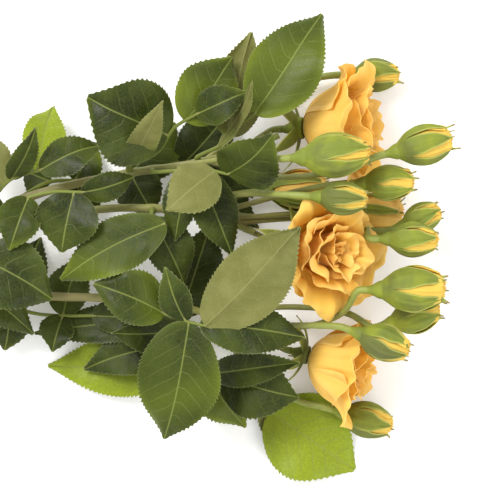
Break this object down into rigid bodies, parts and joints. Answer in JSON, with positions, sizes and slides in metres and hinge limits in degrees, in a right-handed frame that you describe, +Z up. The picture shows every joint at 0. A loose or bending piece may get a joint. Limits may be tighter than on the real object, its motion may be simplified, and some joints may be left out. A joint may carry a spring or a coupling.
{
  "type": "cut spray rose",
  "caption": "Cut spray rose lying down: a woody cane that forks into shoots, with serrated pinnate leaves, open golden-yellow blooms and half-open buds.",
  "frame": {"origin": "middle of the rose's footprint, on the surface that it lies on", "axes": "+X along the cane from its cut end towards the flowers, +Y to the left of the cane seen from above, +Z up"},
  "size_m": [0.405, 0.2134, 0.0795],
  "materials": {
    "stem_bark": "smooth green and olive-brown bark, slightly waxy",
    "leaf": "glossy dark green above, matte pale grey-green below",
    "calyx": "satin yellow-green with paler edges",
    "petal": "velvety golden yellow, deeper orange in the folds"
  },
  "bodies": {
    "root": {"stem": "stem_bark", "leaf_upper_fan": "leaf", "leaf_top": "leaf", "leaf_folded": "leaf", "leaf_left_upper": "leaf", "leaf_left_middle": "leaf", "leaf_bright": "leaf", "leaf_left_lower": "leaf", "leaf_star": "leaf", "leaf_bottom": "leaf", "leaf_right_lower": "leaf", "leaf_under_upper": "leaf", "leaf_under_lower": "leaf", "bloom_middle_calyx": "calyx", "bloom_middle_inner_petals": "petal", "bloom_middle_outer_petal_1": "petal", "bloom_middle_outer_petal_2": "petal", "bloom_middle_outer_petal_3": "petal", "bloom_middle_outer_petal_4": "petal", "bloom_middle_outer_petal_5": "petal", "bloom_upper_calyx": "calyx", "bloom_upper_inner_petals": "petal", "bloom_upper_outer_petal_1": "petal", "bloom_upper_outer_petal_2": "petal", "bloom_upper_outer_petal_3": "petal", "bloom_upper_outer_petal_4": "petal", "bloom_upper_outer_petal_5": "petal", "bloom_lower_calyx": "calyx", "bloom_lower_inner_petals": "petal", "bloom_lower_outer_petal_1": "petal", "bloom_lower_outer_petal_2": "petal", "bloom_lower_outer_petal_3": "petal", "bloom_lower_outer_petal_4": "petal", "bloom_lower_outer_petal_5": "petal", "bud_front_calyx": "calyx", "bud_front_petals": "petal", "bud_second_calyx": "calyx", "bud_second_petals": "petal", "bud_far_calyx": "calyx", "bud_far_petals": "petal", "bud_fork_calyx": "calyx", "bud_fork_petals": "petal", "bud_nested_calyx": "calyx", "bud_nested_petals": "petal", "bud_top_calyx": "calyx", "bud_top_petals": "petal", "bud_back_calyx": "calyx", "bud_back_petals": "petal", "bud_outer_calyx": "calyx", "bud_outer_petals": "petal", "bud_olive_calyx": "calyx", "bud_olive_petals": "petal", "bud_large_calyx": "calyx", "bud_large_petals": "petal", "bud_shaded_calyx": "calyx", "bud_shaded_petals": "petal", "bud_lower_calyx": "calyx", "bud_lower_petals": "petal", "bud_low_calyx": "calyx", "bud_low_petals": "petal"}
  },
  "joints": []
}
